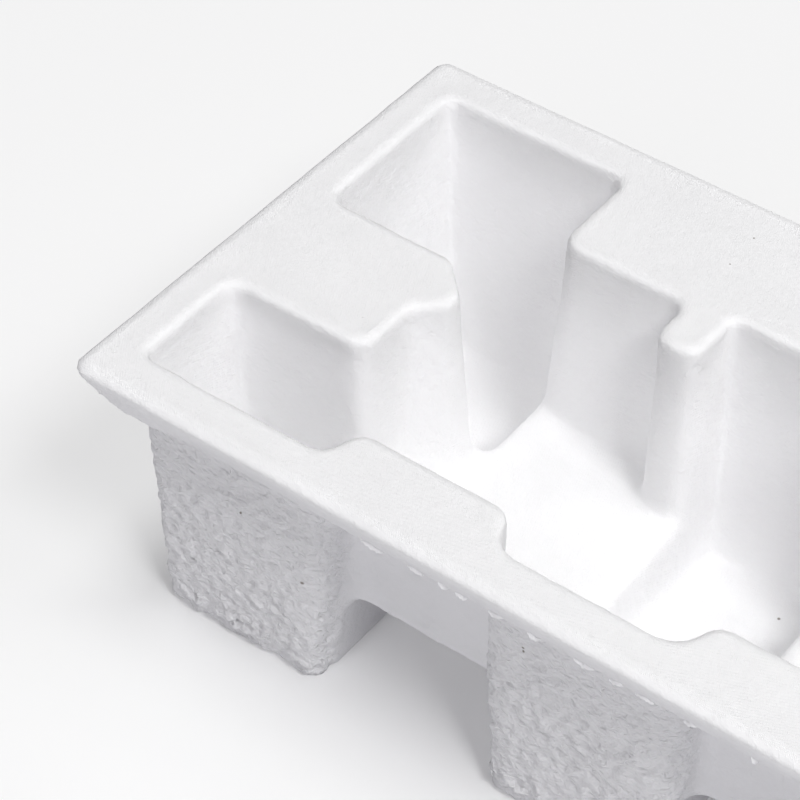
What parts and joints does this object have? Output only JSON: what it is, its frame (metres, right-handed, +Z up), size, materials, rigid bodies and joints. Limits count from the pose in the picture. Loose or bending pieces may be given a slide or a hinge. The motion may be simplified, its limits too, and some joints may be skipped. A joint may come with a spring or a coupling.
{
  "type": "molded pulp insert",
  "caption": "White molded pulp packing insert: a deep drafted shell with a rolled rim, inner shelves, end tongues and hollow feet that cradles a product in a shipping box.",
  "frame": {"origin": "on the table, under the middle of the tray's length and width", "axes": "+X along the length, +Y from the front with the two small steps to the back with the wide ledge, +Z up"},
  "size_m": [0.282, 0.1516, 0.0845],
  "materials": {
    "pulp": "matte white fibre, smooth on the screen side and wrinkled on the outside of the feet"
  },
  "bodies": {
    "root": {"pulp_tray": "pulp"}
  },
  "joints": []
}
